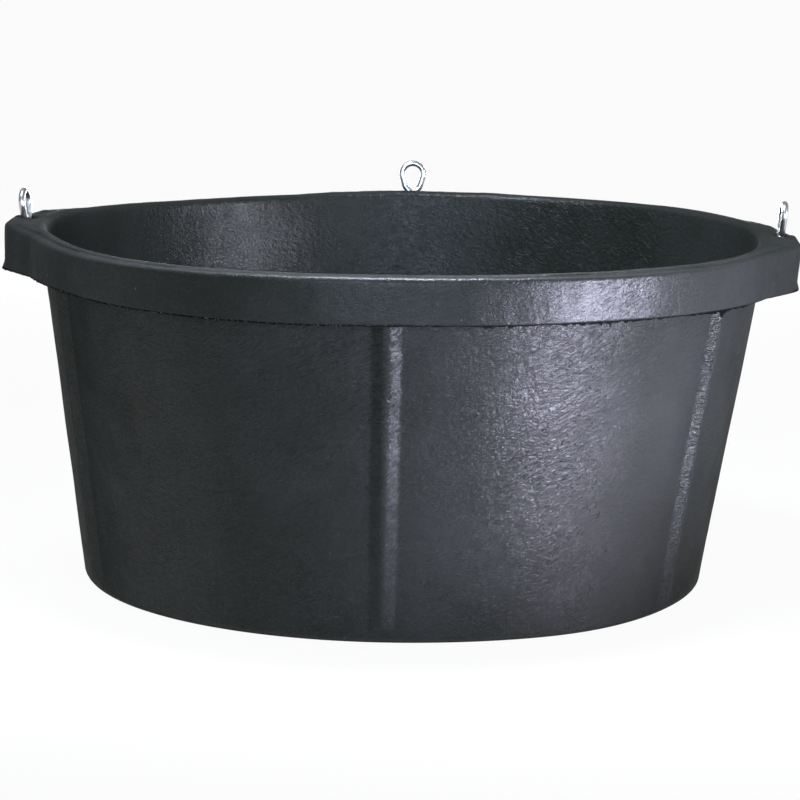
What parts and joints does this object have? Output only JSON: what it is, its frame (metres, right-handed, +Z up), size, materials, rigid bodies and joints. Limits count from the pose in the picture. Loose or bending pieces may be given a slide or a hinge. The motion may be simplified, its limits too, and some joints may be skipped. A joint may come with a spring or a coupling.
{
  "type": "feed tub",
  "caption": "Round black rubber feed tub with a leaning ribbed wall, a banded rim and eye bolts in rim ears for hanging or tying it.",
  "frame": {"origin": "centre of the base's underside, on the tub's axis", "axes": "+Z up; the front faces -Y; the left and right ears are at -X and +X and the rear ear is at +Y"},
  "size_m": [0.64, 0.6249, 0.3122],
  "materials": {
    "rubber": "moulded crumb rubber, satin black with a grey sheen",
    "zinc": "bright zinc-plated bent wire",
    "washer_zinc": "zinc-plated steel",
    "nut_zinc": "zinc-plated steel"
  },
  "bodies": {
    "tub": {"tub": "rubber"},
    "eye_left": {"eye_bolt_left": "zinc", "washer_left": "washer_zinc", "nut_left": "nut_zinc"},
    "eye_right": {"eye_bolt_right": "zinc", "washer_right": "washer_zinc", "nut_right": "nut_zinc"},
    "eye_rear": {"eye_bolt_rear": "zinc", "washer_rear": "washer_zinc", "nut_rear": "nut_zinc"}
  },
  "joints": [
    {"name": "eye_left_swivel", "type": "hinge", "parent": "tub", "child": "eye_left", "pos_m": [-0.3065, 0, 0.28379], "axis": [-0.0872, 0, 0.9962], "continuous": true},
    {"name": "eye_right_swivel", "type": "hinge", "parent": "tub", "child": "eye_right", "pos_m": [0.3065, 0, 0.28379], "axis": [0.0872, 0, 0.9962], "continuous": true},
    {"name": "eye_rear_swivel", "type": "hinge", "parent": "tub", "child": "eye_rear", "pos_m": [0, 0.3065, 0.28379], "axis": [0, 0.0872, 0.9962], "continuous": true}
  ]
}
